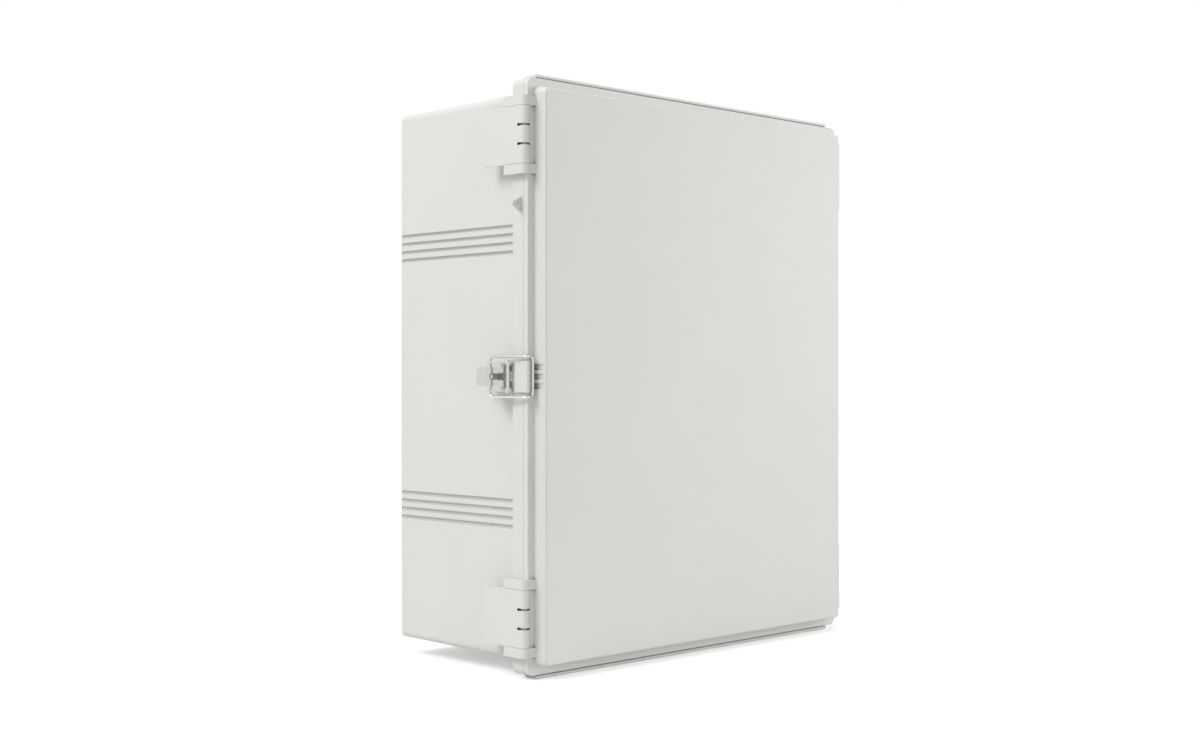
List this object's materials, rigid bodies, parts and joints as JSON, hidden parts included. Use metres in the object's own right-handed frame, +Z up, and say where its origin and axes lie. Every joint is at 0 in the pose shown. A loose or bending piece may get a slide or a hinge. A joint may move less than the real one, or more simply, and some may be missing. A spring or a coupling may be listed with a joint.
{
  "type": "electrical enclosure",
  "caption": "Wall-mounted moulded enclosure with a raised hinged door, snap latches, a wire draw latch with a staple, and a mounting plate inside.",
  "frame": {"origin": "centre of the flat wall face at the back of the base", "axes": "+Y into the wall, -Y out of the door front, +Z up, +X to the hinge side, seen from the front on the right"},
  "size_m": [0.5327, 0.237, 0.6088],
  "materials": {
    "light_grey_plastic": "fine satin moulded surface",
    "gasket_foam": "matte foam",
    "stainless_steel": "bright drawn steel",
    "galvanised_steel": "galvanised",
    "insert_brass": "turned"
  },
  "bodies": {
    "base": {"base_shell": "light_grey_plastic", "draw_latch_bracket": "stainless_steel", "draw_latch_pivot_pin": "stainless_steel", "draw_latch_screw_upper": "stainless_steel", "draw_latch_screw_lower": "stainless_steel", "mounting_plate": "galvanised_steel", "mounting_plate_screw_1": "stainless_steel", "mounting_plate_screw_2": "stainless_steel", "mounting_plate_screw_3": "stainless_steel", "mounting_plate_screw_4": "stainless_steel", "plate_insert_1": "insert_brass", "plate_insert_2": "insert_brass", "plate_insert_3": "insert_brass", "plate_insert_4": "insert_brass"},
    "door": {"door_shell": "light_grey_plastic", "door_gasket": "gasket_foam", "latch_pin_upper": "stainless_steel", "latch_pin_lower": "stainless_steel", "hinge_pin_upper": "stainless_steel", "hinge_pin_lower": "stainless_steel"},
    "upper_flap": {"latch_flap_upper": "light_grey_plastic"},
    "lower_flap": {"latch_flap_lower": "light_grey_plastic"},
    "lever": {"draw_lever": "stainless_steel"},
    "bail": {"wire_bail": "stainless_steel"}
  },
  "joints": [
    {"name": "door_swing", "type": "hinge", "parent": "base", "child": "door", "pos_m": [0.256, -0.2196, 0], "axis": [0, 0, 1], "range_deg": [0, 150]},
    {"name": "upper_flap_turn", "type": "hinge", "parent": "door", "child": "upper_flap", "pos_m": [-0.2545, -0.2196, 0.242], "axis": [0, 0, 1], "range_deg": [0, 100]},
    {"name": "lower_flap_turn", "type": "hinge", "parent": "door", "child": "lower_flap", "pos_m": [-0.2545, -0.2196, -0.242], "axis": [0, 0, 1], "range_deg": [0, 100]},
    {"name": "lever_turn", "type": "hinge", "parent": "base", "child": "lever", "pos_m": [-0.258, -0.199, 0], "axis": [0, 0, 1], "range_deg": [0, 100]},
    {"name": "bail_turn", "type": "hinge", "parent": "lever", "child": "bail", "pos_m": [-0.262, -0.1762, 0], "axis": [0, 0, 1], "range_deg": [-125, 0]}
  ],
  "couplings": [
    {"joint": "bail_turn", "follows": "lever_turn", "ratio": -1.2}
  ]
}
